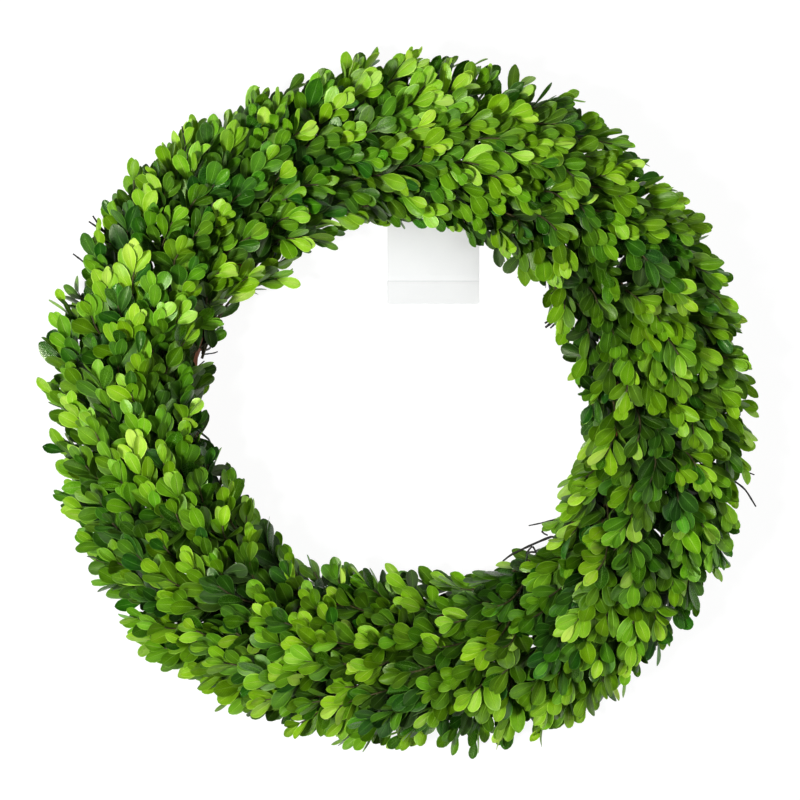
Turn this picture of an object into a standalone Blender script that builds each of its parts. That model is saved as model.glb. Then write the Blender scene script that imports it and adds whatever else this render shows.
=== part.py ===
"""A boxwood wreath lying on its back: four twisted vine strands, one spiral of binding
wire, forty-eight leafy bunches that all point clockwise, and a blank hang tag.
Metres, +Z up. The wreath rests on the cut undersides of the vines at z = 0."""

import math
import random

import bmesh
import bpy
from mathutils import Vector
from mathutils.bvhtree import BVHTree

# Foliage ring, as seen from above: the circles that the leaf tips reach
OUTER_RADIUS = 0.2530
INNER_RADIUS = 0.1235
FOLIAGE_TOP = 0.088
FOLIAGE_FLOOR = 0.0012
# Swell of each edge: waves round the ring, cosine part, sine part
OUTER_SWELL = ((2, 0.0022, -0.0018), (3, -0.0018, -0.0018), (5, 0.0005, 0.0018))
INNER_SWELL = ((1, -0.0021, 0.0), (2, 0.0032, -0.0032), (3, -0.0039, -0.0018), (5, -0.0012, 0.0030))

# Vine base
VINE_RING = 0.163
VINE_COUNT = 4
VINE_TWISTS = 3
VINE_SPREAD = 0.011
VINE_RADIUS = 0.007
VINE_SIDES = 6
VINE_STEPS = 36
VINE_FLAT_DEPTH = 0.001
VINE_THINNING = 0.05
VINE_CREASE = 40.0
VINE_HEIGHT = VINE_SPREAD + VINE_RADIUS * math.cos(math.pi / VINE_SIDES) - VINE_FLAT_DEPTH

# Binding wire, one turn to a station
STATIONS = VINE_COUNT * VINE_TWISTS
WIRE_RADIUS = 0.0008
WIRE_SIDES = 3
WIRE_STEPS = 16
WIRE_OVER_STEMS = 0.0265
WIRE_BESIDE_VINES = 0.0212
WIRE_CLEAR_OF_FLOOR = 0.0003
WIRE_SHOULDER = 3.2
WIRE_CREASE = 130.0

# Stems of the bunches, laid on the vines and under the wire
STEM_SEAT_HIGHEST = 0.0216
STEM_SEAT_STEP = 0.0001
STEM_SEAT_STEPS = 110
STEM_BEHIND_WIRE = math.radians(4.5)
STEM_RADII = ((0.0, 0.0025), (0.25, 0.0027), (0.65, 0.0036), (1.0, 0.0027))
STEM_SIDES = 4
STEM_LAID_SHARE = 0.22
STEM_RISE_POWER = 1.35
STEM_LENGTH_SPREAD = 0.06
STEM_TIP_SPREAD = 0.003

# Rows of bunches: name, seat angle round the vines, tip radius, tip height, length,
# and the side twig's tip radius and height, or None where the stem has no side twig
ROWS = (
    ("inner", 150.0, 0.1385, 0.037, 0.072, None),
    ("crown", 108.0, 0.1700, 0.068, 0.086, None),
    ("shoulder", 62.0, 0.2030, 0.064, 0.086, (0.2250, 0.050)),
    ("outer", 22.0, 0.2240, 0.034, 0.104, (0.2220, 0.018)),
)
LEAVES = {"inner": 8, "crown": 9, "shoulder": 12, "outer": 12}
TWIG_RADII = ((0.0, 0.0024), (1.0, 0.0026))
TWIG_FROM = 0.34
TWIG_TO = 0.62
TWIG_LEAF_SHARE = 0.42
TWIG_LEAF_START = 0.25

# Leaves, about twice the size of a real boxwood leaf, each on a stalk of its own length
LEAF_REACH_LEAST = 0.034
LEAF_REACH_MOST = 0.054
LEAF_WIDTH = 0.0240
LEAF_SIZE_SPREAD = 0.12
LEAF_TIP_TO_WIDEST = 0.014
LEAF_TIP_WIDTH_SHARE = 0.42
LEAF_THICKEST = 0.36
LEAF_FACE_RISE = 0.0006
LEAF_BACK_DROP = 0.0014
LEAF_CUP = 0.0008
ROOT_SUNK = 0.0018
ROOT_SHARED = 0.14
LEAF_START = 0.26
FAN_LEAST = math.radians(10.0)
FAN_MOST = math.radians(72.0)
FAN_AT_BUTT = 1.15
FAN_LOST_BY_TIP = 0.45
ROLL_BELOW = math.radians(36.0)
FACE_OUTWARD = 0.55
FACE_UPWARD = 0.75
FACE_SCATTER = 0.35

# How a bunch chooses its leaves: the best of so many tries, by the bare cells they cover
OFFERS = 160
COVER_CELL = 0.0055
COVER_ACROSS = (-0.45, 0.0, 0.45)
COVER_BACK_FROM_TIP = (0.0, 0.005, 0.010, 0.015, 0.020, 0.025)

# Hang tag
TAG_LEFT = -0.010
TAG_RIGHT = 0.056
TAG_BOTTOM = 0.0724
TAG_FOLD = 0.0890
TAG_TOP = 0.1410
TAG_THICKNESS = 0.0008
TAG_LIFT = 0.0035

GAP = 0.0004
SEED = 14
UP = Vector((0.0, 0.0, 1.0))

# Name: colour (linear), roughness
MATERIALS = {
    "vine_bark": ((0.110, 0.055, 0.030), 0.80),
    "binding_wire": ((0.035, 0.055, 0.028), 0.45),
    "tag_paper": ((0.86, 0.87, 0.85), 0.70),
    "boxwood_inner": ((0.045, 0.105, 0.012), 0.50),
    "boxwood_crown": ((0.125, 0.255, 0.020), 0.45),
    "boxwood_shoulder": ((0.095, 0.205, 0.018), 0.45),
    "boxwood_outer": ((0.070, 0.150, 0.014), 0.48),
}


def clear_scene():
    """Remove everything that the file opened with."""
    for item in list(bpy.data.objects):
        bpy.data.objects.remove(item, do_unlink=True)


def make_material(name):
    """One plain surface colour."""
    colour, roughness = MATERIALS[name]
    material = bpy.data.materials.new(name)
    material.use_nodes = True
    shader = material.node_tree.nodes["Principled BSDF"]
    shader.inputs["Base Color"].default_value = (*colour, 1.0)
    shader.inputs["Roughness"].default_value = roughness
    shader.inputs["Metallic"].default_value = 0.0
    material.diffuse_color = (*colour, 1.0)
    return material


def swell(terms, angle):
    """How far an edge of the foliage leaves its mean circle."""
    return sum(a * math.cos(n * angle) + b * math.sin(n * angle) for n, a, b in terms)


def outer_edge(angle):
    return OUTER_RADIUS + swell(OUTER_SWELL, angle)


def inner_edge(angle):
    return INNER_RADIUS + swell(INNER_SWELL, angle)


def ring_point(angle, radius, height):
    """A point from its angle round the wreath, radius and height."""
    return Vector((radius * math.cos(angle), radius * math.sin(angle), height))


def vine_section_point(angle, turn, reach):
    """A point round the vine bundle: turn is 0 outward and a quarter turn up."""
    return ring_point(angle, VINE_RING + reach * math.cos(turn), VINE_HEIGHT + reach * math.sin(turn))


def tube_mesh(centres, radii, sides, closed, section_axes):
    """A tube through centres; section_axes gives the two axes of each ring of points."""
    mesh = bmesh.new()
    rings = []
    for index, centre in enumerate(centres):
        across, upright = section_axes(index)
        ring = []
        for side in range(sides):
            turn = math.tau * ((side + 0.5) / sides - 0.25)
            offset = across * math.cos(turn) + upright * math.sin(turn)
            ring.append(mesh.verts.new(centre + offset * radii[index]))
        rings.append(ring)
    last = len(rings) if closed else len(rings) - 1
    for index in range(last):
        near = rings[index]
        far = rings[(index + 1) % len(rings)]
        for side in range(sides):
            other = (side + 1) % sides
            mesh.faces.new((near[side], near[other], far[other], far[side]))
    if not closed:
        mesh.faces.new(rings[0])
        mesh.faces.new(rings[-1])
    bmesh.ops.recalc_face_normals(mesh, faces=mesh.faces)
    return mesh


def add_object(name, mesh, material):
    """Turn a bmesh into a named object."""
    data = bpy.data.meshes.new(name)
    mesh.to_mesh(data)
    mesh.free()
    data.materials.append(material)
    item = bpy.data.objects.new(name, data)
    bpy.context.scene.collection.objects.link(item)
    return item


def smooth(item, degrees):
    """Shade smooth, with edges sharper than an angle kept crisp."""
    item.data.shade_smooth()
    item.data.set_sharp_from_angle(angle=math.radians(degrees))


def radial_axes(angle):
    return ring_point(angle, 1.0, 0.0), UP


def vine_strand(index, material):
    """One strand, twisted round the bundle and flat where it touches the surface."""
    angles = [math.tau * step / VINE_STEPS for step in range(VINE_STEPS)]
    phase = math.tau * index / VINE_COUNT
    centres = [vine_section_point(a, VINE_TWISTS * a + phase, VINE_SPREAD) for a in angles]
    radii = [VINE_RADIUS * (1.0 - VINE_THINNING * math.sin(2.0 * a + phase) ** 2) for a in angles]
    mesh = tube_mesh(centres, radii, VINE_SIDES, True, lambda step: radial_axes(angles[step]))
    everything = mesh.verts[:] + mesh.edges[:] + mesh.faces[:]
    bmesh.ops.bisect_plane(mesh, geom=everything, plane_co=(0, 0, 0), plane_no=UP, clear_inner=True)
    open_edges = [edge for edge in mesh.edges if edge.is_boundary]
    bmesh.ops.holes_fill(mesh, edges=open_edges, sides=0)
    bmesh.ops.recalc_face_normals(mesh, faces=mesh.faces)
    item = add_object(f"vine_strand_{index + 1}", mesh, material)
    smooth(item, VINE_CREASE)
    return item


def wire_angle(station, share):
    """Angle round the wreath of the wire, which crosses under the vines in their valleys."""
    pitch = math.tau / STATIONS
    return pitch * (station + 0.5 + share - math.sin(math.tau * share) / math.tau)


def wire_reach(turn):
    """The wire's distance from the middle of the vines: wide over the stems, flat below."""
    lift = max(0.0, math.sin(turn))
    reach = WIRE_BESIDE_VINES + (WIRE_OVER_STEMS - WIRE_BESIDE_VINES) * min(1.0, WIRE_SHOULDER * lift)
    drop = VINE_HEIGHT - WIRE_RADIUS - WIRE_CLEAR_OF_FLOOR
    if math.sin(turn) < 0.0:
        reach = min(reach, drop / -math.sin(turn))
    return reach


def binding_wire(material):
    """One closed spiral of wire that holds the stems down on the vines."""
    centres = []
    for station in range(STATIONS):
        for step in range(WIRE_STEPS):
            share = step / WIRE_STEPS
            turn = math.tau * (share - 0.25)
            centres.append(vine_section_point(wire_angle(station, share), turn, wire_reach(turn)))
    count = len(centres)

    def axes(index):
        heading = (centres[(index + 1) % count] - centres[index - 1]).normalized()
        angle = math.atan2(centres[index].y, centres[index].x)
        middle = ring_point(angle, VINE_RING, VINE_HEIGHT)
        outward = (centres[index] - middle).normalized()
        side = heading.cross(outward).normalized()
        return side, side.cross(heading)

    mesh = tube_mesh(centres, [WIRE_RADIUS] * count, WIRE_SIDES, True, axes)
    item = add_object("binding_wire", mesh, material)
    smooth(item, WIRE_CREASE)
    return item


def hang_tag(material):
    """A blank folded card that lies on the surface and reaches in under the leaves."""
    profile = ((TAG_TOP, 0.0), (TAG_FOLD, 0.0), (TAG_BOTTOM, TAG_LIFT))
    mesh = bmesh.new()
    rows = []
    for along, height in profile:
        rows.append([
            mesh.verts.new((TAG_LEFT, along, height)),
            mesh.verts.new((TAG_RIGHT, along, height)),
            mesh.verts.new((TAG_RIGHT, along, height + TAG_THICKNESS)),
            mesh.verts.new((TAG_LEFT, along, height + TAG_THICKNESS)),
        ])
    for near, far in zip(rows, rows[1:]):
        for corner in range(4):
            other = (corner + 1) % 4
            mesh.faces.new((near[corner], near[other], far[other], far[corner]))
    mesh.faces.new(rows[0])
    mesh.faces.new(rows[-1])
    bmesh.ops.recalc_face_normals(mesh, faces=mesh.faces)
    return add_object("hang_tag", mesh, material)


class Twig:
    """A slim stem through a few points of a course, which runs from 0 at the butt to 1."""

    def __init__(self, course, radii, leaf_start):
        self.shares = [share for share, radius in radii]
        self.points = [course(share) for share in self.shares]
        self.radii = [radius for share, radius in radii]
        self.leaf_start = leaf_start

    def leg(self, share):
        """The straight leg that a share of the course falls on."""
        index = 0
        while index < len(self.shares) - 2 and share > self.shares[index + 1]:
            index += 1
        return index

    def at(self, share):
        index = self.leg(share)
        near, far = self.shares[index], self.shares[index + 1]
        return self.points[index].lerp(self.points[index + 1], (share - near) / (far - near))

    def heading(self, share):
        index = self.leg(share)
        return (self.points[index + 1] - self.points[index]).normalized()

    def mesh(self, extra=0.0):
        """The twig's surface, fattened by a clearance."""
        last = len(self.points) - 1

        def axes(index):
            heading = (self.points[min(index + 1, last)] - self.points[max(index - 1, 0)]).normalized()
            side = heading.cross(UP).normalized()
            return side, side.cross(heading)

        return tube_mesh(self.points, [radius + extra for radius in self.radii], STEM_SIDES, False, axes)


class Bunch:
    """A leafy bunch: the course of its stem and the leaves that it has grown."""

    def __init__(self, row, station, rng):
        row_name, seat, tip_radius, tip_height, length, fork = row
        self.name = f"bunch_{row_name}_{station + 1:02d}"
        self.row = row_name
        self.seat = math.radians(seat)
        wire_share = (self.seat + math.pi / 2) / math.tau
        self.start = wire_angle(station, wire_share) + STEM_BEHIND_WIRE
        stretch = 1.0 + rng.uniform(-STEM_LENGTH_SPREAD, STEM_LENGTH_SPREAD)
        self.span = length * stretch / (0.5 * (VINE_RING + tip_radius))
        end = self.start - self.span
        edge = swell(OUTER_SWELL if fork else INNER_SWELL, end)
        self.tip_radius = tip_radius + edge + rng.uniform(-STEM_TIP_SPREAD, STEM_TIP_SPREAD)
        self.tip_height = tip_height + rng.uniform(-STEM_TIP_SPREAD, STEM_TIP_SPREAD)
        self.seat_reach = STEM_SEAT_HIGHEST
        self.twig_tip = None
        if fork:
            side_radius, side_height = fork
            self.twig_tip = ring_point(self.start - self.span * TWIG_TO, side_radius + edge, side_height)
        self.leaves = []

    def settle(self, base):
        """Press the stem down onto the vines until it all but touches them."""
        for step in range(STEM_SEAT_STEPS):
            self.seat_reach = STEM_SEAT_HIGHEST - step * STEM_SEAT_STEP
            trial = Twig(self.stem_point, STEM_RADII, LEAF_START)
            if crosses_any(obstacle_of(self.name, trial.mesh(GAP)), base):
                self.seat_reach += STEM_SEAT_STEP
                break
        self.twigs = [Twig(self.stem_point, STEM_RADII, LEAF_START)]
        if self.twig_tip:
            self.twigs.append(Twig(self.twig_point, TWIG_RADII, TWIG_LEAF_START))

    def stem_point(self, share):
        """Along the vines at first, then rising to the tip."""
        angle = self.start - self.span * share
        seated = vine_section_point(angle, self.seat, self.seat_reach)
        free = max(0.0, share - STEM_LAID_SHARE) / (1.0 - STEM_LAID_SHARE)
        return seated.lerp(ring_point(angle, self.tip_radius, self.tip_height), free ** STEM_RISE_POWER)

    def twig_point(self, share):
        """From inside the stem, outward to the side twig's own tip."""
        return self.stem_point(TWIG_FROM).lerp(self.twig_tip, share)


def outward_at(point):
    """Unit vector away from the vine ring's centre line."""
    angle = math.atan2(point.y, point.x)
    return (point - ring_point(angle, VINE_RING, 0.0)).normalized()


def leaf_points(leaf, extra=0.0, start=0.0):
    """Corners of a leaf: root, rim, and the highest points of its face and its back.

    extra fattens it by a clearance, and start leaves out that share nearest the root."""
    root, along, face, reach, width = leaf
    side = face.cross(along)
    widest = reach - LEAF_TIP_TO_WIDEST
    half_width = width / 2 + extra
    half_tip = LEAF_TIP_WIDTH_SHARE * width / 2
    corners = (
        (start * widest, 0.0, 0.0),
        (widest, -half_width, LEAF_CUP),
        (reach + extra, -half_tip, 0.0),
        (reach + extra, half_tip, 0.0),
        (widest, half_width, LEAF_CUP),
        (LEAF_THICKEST * reach, 0.0, LEAF_FACE_RISE + extra),
        (LEAF_THICKEST * reach, 0.0, -LEAF_BACK_DROP - extra),
    )
    return [root + along * x + side * y + face * z for x, y, z in corners]


# Triangles of a leaf: a fan on its face and the same fan on its back
LEAF_RIM = 5
LEAF_FACES = [(corner, (corner + 1) % LEAF_RIM, LEAF_RIM) for corner in range(LEAF_RIM)]
LEAF_FACES += [((corner + 1) % LEAF_RIM, corner, LEAF_RIM + 1) for corner in range(LEAF_RIM)]


def offer_leaf(bunch, rng):
    """One leaf that the bunch could grow: root, direction, face normal, reach, width."""
    twig = bunch.twigs[-1] if rng.random() < TWIG_LEAF_SHARE else bunch.twigs[0]
    place = rng.uniform(twig.leaf_start, 1.0)
    stem = twig.at(place)
    heading = twig.heading(place)
    outward = outward_at(stem)
    across = heading.cross(outward).normalized()
    roll = rng.uniform(-ROLL_BELOW, math.pi + ROLL_BELOW)
    fan = rng.uniform(FAN_LEAST, FAN_MOST) * (FAN_AT_BUTT - FAN_LOST_BY_TIP * place)
    swing = across * math.cos(roll) + outward * math.sin(roll)
    along = (heading * math.cos(fan) + swing * math.sin(fan)).normalized()
    scatter = Vector((rng.uniform(-1, 1), rng.uniform(-1, 1), rng.uniform(-1, 1)))
    face = outward * FACE_OUTWARD + UP * FACE_UPWARD + scatter * FACE_SCATTER
    face = (face - along * face.dot(along)).normalized()
    size = 1.0 + rng.uniform(-LEAF_SIZE_SPREAD, LEAF_SIZE_SPREAD)
    reach = rng.uniform(LEAF_REACH_LEAST, LEAF_REACH_MOST)
    return stem - along * ROOT_SUNK, along, face, reach, LEAF_WIDTH * size


def within_ring(points):
    """True where every corner lies inside the foliage ring's outline and height."""
    for point in points:
        angle = math.atan2(point.y, point.x)
        radius = math.hypot(point.x, point.y)
        if not inner_edge(angle) < radius < outer_edge(angle):
            return False
        if not FOLIAGE_FLOOR < point.z < FOLIAGE_TOP:
            return False
    return True


class Obstacle:
    """Something to stay clear of. Leaves of one bunch may meet only near their roots."""

    def __init__(self, owner, points, faces, free_points=None):
        self.owner = owner
        self.tree = BVHTree.FromPolygons(points, faces)
        self.free_tree = BVHTree.FromPolygons(free_points, faces) if free_points else None
        self.centre = sum(points, Vector()) / len(points)
        self.reach = max((point - self.centre).length for point in points)

    def crosses(self, other):
        if (other.centre - self.centre).length > other.reach + self.reach:
            return False
        if other.owner != self.owner:
            return bool(self.tree.overlap(other.tree))
        if other.free_tree is None:
            return False
        return bool(self.free_tree.overlap(other.free_tree))


def obstacle_of(owner, mesh):
    """What a mesh takes up. The mesh is freed."""
    mesh.verts.index_update()
    points = [vert.co.copy() for vert in mesh.verts]
    faces = [[vert.index for vert in face.verts] for face in mesh.faces]
    mesh.free()
    return Obstacle(owner, points, faces)


def object_obstacle(item):
    mesh = bmesh.new()
    mesh.from_mesh(item.data)
    return obstacle_of(item.name, mesh)


def crosses_any(trial, obstacles):
    return any(trial.crosses(other) for other in obstacles)


def leaf_obstacle(owner, leaf, extra=0.0):
    return Obstacle(owner, leaf_points(leaf, extra), LEAF_FACES, leaf_points(leaf, extra, ROOT_SHARED))


def covered_cells(leaf):
    """Small square cells that a leaf covers, as seen from above."""
    root, along, face, reach, width = leaf
    side = face.cross(along)
    cells = set()
    for back in COVER_BACK_FROM_TIP:
        for sideways in COVER_ACROSS:
            point = root + along * (reach - back) + side * (width * sideways)
            cells.add((round(point.x / COVER_CELL), round(point.y / COVER_CELL)))
    return cells


def grow_leaf(bunch, obstacles, covered, rng):
    """Grow the clear leaf that covers the most bare cells."""
    best = None
    best_gain = -1
    for attempt in range(OFFERS):
        leaf = offer_leaf(bunch, rng)
        if not within_ring(leaf_points(leaf)):
            continue
        cells = covered_cells(leaf)
        gain = len(cells - covered)
        if gain <= best_gain:
            continue
        trial = leaf_obstacle(bunch.name, leaf, GAP)
        if crosses_any(trial, obstacles):
            continue
        best = (leaf, cells)
        best_gain = gain
    if best is None:
        return
    leaf, cells = best
    bunch.leaves.append(leaf)
    covered |= cells
    obstacles.append(leaf_obstacle(bunch.name, leaf))


def leaf_object(leaf):
    data = bpy.data.meshes.new("leaf")
    data.from_pydata(leaf_points(leaf), [], LEAF_FACES)
    return bpy.data.objects.new("leaf", data)


def twig_object(twig):
    data = bpy.data.meshes.new("twig")
    mesh = twig.mesh()
    mesh.to_mesh(data)
    mesh.free()
    return bpy.data.objects.new("twig", data)


def keep_largest_body(mesh):
    """Drop scraps and sealed hollows, which are loose from the main surface."""
    unseen = set(mesh.verts)
    bodies = []
    while unseen:
        frontier = [unseen.pop()]
        body = list(frontier)
        while frontier:
            vert = frontier.pop()
            for edge in vert.link_edges:
                other = edge.other_vert(vert)
                if other in unseen:
                    unseen.remove(other)
                    frontier.append(other)
                    body.append(other)
        bodies.append(body)
    bodies.sort(key=len, reverse=True)
    for body in bodies[1:]:
        bmesh.ops.delete(mesh, geom=body, context="VERTS")


def fuse_bunch(bunch, material):
    """Join a stem and its leaves into one solid."""
    item = add_object(bunch.name, bunch.twigs[0].mesh(), material)
    growth = bpy.data.collections.new("growth")
    for twig in bunch.twigs[1:]:
        growth.objects.link(twig_object(twig))
    for leaf in bunch.leaves:
        growth.objects.link(leaf_object(leaf))
    union = item.modifiers.new("growth", "BOOLEAN")
    union.operation = "UNION"
    union.operand_type = "COLLECTION"
    union.collection = growth
    union.solver = "MANIFOLD"
    view = bpy.context.evaluated_depsgraph_get()
    mesh = bmesh.new()
    mesh.from_mesh(item.evaluated_get(view).to_mesh())
    keep_largest_body(mesh)
    item.modifiers.clear()
    mesh.to_mesh(item.data)
    mesh.free()
    for piece in list(growth.objects):
        bpy.data.objects.remove(piece, do_unlink=True)
    bpy.data.collections.remove(growth)
    return item


def grow_bunches(fixed):
    """Lay out the bunches and let them grow leaves in turn, so that the cover is even."""
    rng = random.Random(SEED)
    bunches = [Bunch(row, station, rng) for station in range(STATIONS) for row in ROWS]
    base = [object_obstacle(item) for item in fixed]
    obstacles = list(base)
    for bunch in bunches:
        bunch.settle(base)
        obstacles.extend(obstacle_of(bunch.name, twig.mesh()) for twig in bunch.twigs)
    covered = set()
    for turn in range(max(LEAVES.values())):
        for bunch in bunches:
            if turn < LEAVES[bunch.row]:
                grow_leaf(bunch, obstacles, covered, rng)
    return bunches


def centre_on_origin(items):
    """Hang everything on one empty that puts the outline's middle on the origin."""
    points = [vert.co for item in items for vert in item.data.vertices]
    middle_x = (min(p.x for p in points) + max(p.x for p in points)) / 2
    middle_y = (min(p.y for p in points) + max(p.y for p in points)) / 2
    wreath = bpy.data.objects.new("wreath", None)
    bpy.context.scene.collection.objects.link(wreath)
    wreath.location = (-middle_x, -middle_y, 0.0)
    for item in items:
        item.parent = wreath


def main():
    clear_scene()
    materials = {name: make_material(name) for name in MATERIALS}
    items = [vine_strand(index, materials["vine_bark"]) for index in range(VINE_COUNT)]
    items.append(binding_wire(materials["binding_wire"]))
    items.append(hang_tag(materials["tag_paper"]))
    for bunch in grow_bunches(items):
        items.append(fuse_bunch(bunch, materials["boxwood_" + bunch.row]))
    centre_on_origin(items)


main()
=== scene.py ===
"""The look of the boxwood wreath: true-size leaves on fine sprigs, bark, wire and a card.
Each fine piece stands for one CAD node and follows the same courses. Metres, +Z up."""

import math
import random

import bpy
import numpy as np
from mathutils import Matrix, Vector
from mathutils.bvhtree import BVHTree
from mathutils.kdtree import KDTree


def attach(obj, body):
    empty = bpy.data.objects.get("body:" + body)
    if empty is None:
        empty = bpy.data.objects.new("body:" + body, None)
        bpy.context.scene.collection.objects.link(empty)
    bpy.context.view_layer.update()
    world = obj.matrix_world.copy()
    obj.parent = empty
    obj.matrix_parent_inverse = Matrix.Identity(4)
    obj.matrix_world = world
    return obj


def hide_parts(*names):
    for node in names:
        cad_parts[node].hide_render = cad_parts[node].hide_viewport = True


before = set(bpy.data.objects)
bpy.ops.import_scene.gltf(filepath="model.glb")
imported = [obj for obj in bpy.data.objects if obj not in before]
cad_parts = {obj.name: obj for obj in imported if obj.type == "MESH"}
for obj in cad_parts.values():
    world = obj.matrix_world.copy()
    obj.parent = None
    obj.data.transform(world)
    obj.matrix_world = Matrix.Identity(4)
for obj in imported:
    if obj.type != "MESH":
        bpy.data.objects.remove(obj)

UP = np.array((0.0, 0.0, 1.0))

# The ring's own middle, seen from the middle of the outline
RING_MIDDLE = np.array((0.001065, -0.002341, 0.0))

# Circles that the foliage reaches, and their waves: number, cosine part, sine part
OUTER_RADIUS = 0.2502
INNER_RADIUS = 0.1226
OUTER_WAVES = (
    (2, 0.0022, -0.0018), (3, -0.0019, -0.0018), (4, -0.0017, -0.0005), (5, 0.0005, 0.0018),
    (7, -0.0008, -0.0012), (9, -0.0006, 0.0009), (11, 0.0013, 0.0001),
)
INNER_WAVES = (
    (1, -0.0022, 0.0), (2, 0.0033, -0.0032), (3, -0.0039, -0.0018), (4, -0.0005, -0.0014),
    (5, -0.0012, 0.0030), (7, 0.0003, -0.0010), (9, 0.0012, -0.0019), (10, 0.0012, 0.0012),
)
EDGE_STRAY = (-0.0075, 0.0084)
FOLIAGE_TOP = 0.090
FOLIAGE_FLOOR = 0.0012

# Section of the foliage, round a middle that the sprigs fan out from
SECTION_RADIUS = 0.187
SECTION_HEIGHT = 0.024
SECTION_LOWEST = math.radians(-24.0)
UNDERCUT = 0.014

# The vine base, the wire and the bunches, with the CAD's own courses
VINE_RING = 0.163
VINE_COUNT = 4
VINE_TWISTS = 3
VINE_SPREAD = 0.011
VINE_RADIUS = 0.007
VINE_CUT = 0.001
VINE_HEIGHT = VINE_SPREAD + VINE_RADIUS * math.cos(math.pi / 6) - VINE_CUT
VINE_THINNING = 0.05
STATIONS = 12
WIRE_RADIUS = 0.0008
WIRE_OVER_STEMS = 0.0265
WIRE_BESIDE_VINES = 0.0212
WIRE_CLEAR_OF_FLOOR = 0.0003
WIRE_SHOULDER = 3.2
STEM_BEHIND_WIRE = math.radians(4.5)
STEM_REACH = 0.0212
# Rows of bunches: where their stems are bound to the vines, in degrees up from outward
ROWS = (("inner", 150.0), ("crown", 108.0), ("shoulder", 62.0), ("outer", 22.0))
# Section turns where each row of tips ends, from the outer row up; the inner row has the rest
ROW_BORDERS = (
    ("outer", math.radians(34.0)),
    ("shoulder", math.radians(82.0)),
    ("crown", math.radians(128.0)),
)
NEAREST_TIP = 0.030

# Sprigs: how many, how they thin out at the sides, and how deep their tips lie
SPRIGS = 560
TIP_OFFERS = 14
SECTION_STEPS = 200
SIDE_THINNING = 0.40
DEEP_SHARE = 0.25
DEEP_SPREAD = 0.88
TIP_INSET = (0.0050, 0.0135)
DEEP_INSET = (0.020, 0.030)
LEAST_KEPT = 0.15

# Sprigs: how they leave the wire and which way they point
BUTT_LAG = 0.06
SEAT_SCATTER = 0.14
BUTT_DEPTHS = (-0.0022, 0.0012)
BUTT_AIM = 0.18
COURSE_EASE = 0.36
LEAN_ON_TOP = math.radians(27.0)
LEAN_AT_SIDES = math.radians(44.0)
LEAN_SCATTER = math.radians(9.0)
YAW_SCATTER = 0.14
LOW_TIP = 0.016
LEVELLED = np.array((1.0, 1.0, 0.2))

# Sprigs: thickness, and the nodes that bear their leaves
SPRIG_BUTT_RADIUS = 0.0011
SPRIG_TIP_RADIUS = 0.00045
SPRIG_SIDES = 5
SPRIG_STEPS = 12
NODES_FROM_TIP = (0.0010, 0.0080, 0.0160, 0.0242, 0.0324, 0.0406)
BARE_BUTT = 0.014
DIRECTION_STEP = 0.002

# Sprig colours: up to which share of the sprigs, then the ranges of tone and of hue
SPRIG_COLOURS = (
    (0.36, (0.72, 0.92), (0.0, 0.30)),
    (0.76, (0.54, 0.74), (0.05, 0.50)),
    (0.92, (0.34, 0.48), (0.0, 0.45)),
    (1.00, (0.28, 0.42), (0.5, 0.85)),
)
BUNCH_TONE_SPREAD = 0.045
BUNCH_HUE_SPREAD = 0.09

# Leaves: length at each node and lean from the sprig, size, and the rows of their mesh
LEAF_LENGTHS = (0.0162, 0.0206, 0.0228, 0.0232, 0.0230, 0.0224)
LEAF_FANS = tuple(math.radians(fan) for fan in (12, 21, 27, 31, 34, 36))
LEAF_OFFERS = 10
LENGTH_SCATTER = (0.86, 1.14)
SLENDERNESS = (0.40, 0.53)
LEAF_THICKNESS = 0.00028
RIM_THINNING = 0.5
LEAF_ROWS = (0.06, 0.20, 0.38, 0.56, 0.74, 0.88, 0.97)
LEAF_COLUMNS = (-1.0, -0.5, 0.0, 0.5, 1.0)

# Leaf shapes: the ranges of taper and bluntness, then the mean and spread of each bend
TAPERS = (0.95, 1.55)
BLUNTNESS = (0.52, 0.80)
CURLS = (0.10, 0.32)
FOLDS = (0.30, 0.18)
CUPS = (-0.22, 0.16)
SWAYS = (0.0, 0.05)
LEAST_CURL = 0.02

# How leaves turn: the likeliest offer's scatter, and how much more the last one has
TURN_SCATTER = (0.12, 0.75)
FAN_SCATTER = (0.10, 0.22)
WIDEST_TURN = 2.1
LEAF_SLOPES = (-0.55, 0.46)
FACE_OUTWARD = 0.60
FACE_UPWARD = 0.62
FACE_SCATTER = 0.36

# Leaf colours: tone falls from the sprig's tip to its butt, partly as the older leaves' own darker colour
# and partly as painted shade, and it falls with the depth in the foliage as painted shade
TIP_BRIGHTER = 0.08
NODE_DARKER = 0.055
LEAF_MIDDLE = 0.6
TONE_SCATTER = 0.09
HUE_SCATTER = 0.14
LEAST_TONE = 0.01
SHADE_STARTS = 1.02
SHADE_ENDS = 0.52
SHADE_TONE = 0.06
UNDERSIDE_TONE = (0.10, 0.05, -0.60)
PALE_SHARE = 0.022
PALE_TONES = (0.78, 0.92)
PALE_HUES = (0.1, 0.5)
DARK_SHARE = 0.09
DARK_TONES = (0.18, 0.36)
DARK_HUES = (0.5, 1.0)

# Room that leaves leave round the vines and over the card
VINE_CLEARANCE = 0.0185
TAG_MARGIN = 0.002
TAG_CLEARANCE = 0.0065

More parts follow.
